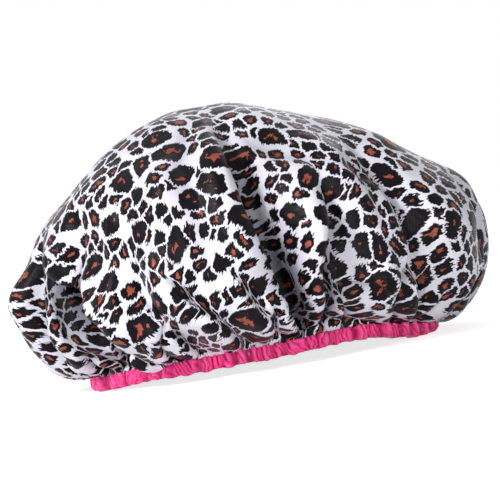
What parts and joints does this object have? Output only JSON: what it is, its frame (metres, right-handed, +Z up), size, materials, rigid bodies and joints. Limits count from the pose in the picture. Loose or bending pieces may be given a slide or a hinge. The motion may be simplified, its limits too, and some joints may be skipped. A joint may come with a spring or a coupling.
{
  "type": "shower cap",
  "caption": "Bouffant shower cap: a printed satin crown over a waterproof lining, gathered into a ruched satin binding that holds a hidden elastic.",
  "frame": {"origin": "on the plane that the binding stands on, under the middle of the crown's box", "axes": "+Z up, the opening faces down; +X from the nape's end to the forehead's end; -Y is the side with the deepest fold, which the picture shows"},
  "size_m": [0.2904, 0.2502, 0.154],
  "materials": {
    "printed_satin": "soft satin sheen, leopard spots of near black and rust on white",
    "waterproof_film": "thin milky waterproof film",
    "pink_satin": "hot pink satin, finely ruched",
    "elastic_webbing": "woven white elastic"
  },
  "bodies": {
    "root": {"outer_crown": "printed_satin", "inner_lining": "waterproof_film", "hem_binding": "pink_satin", "hem_elastic": "elastic_webbing"}
  },
  "joints": []
}
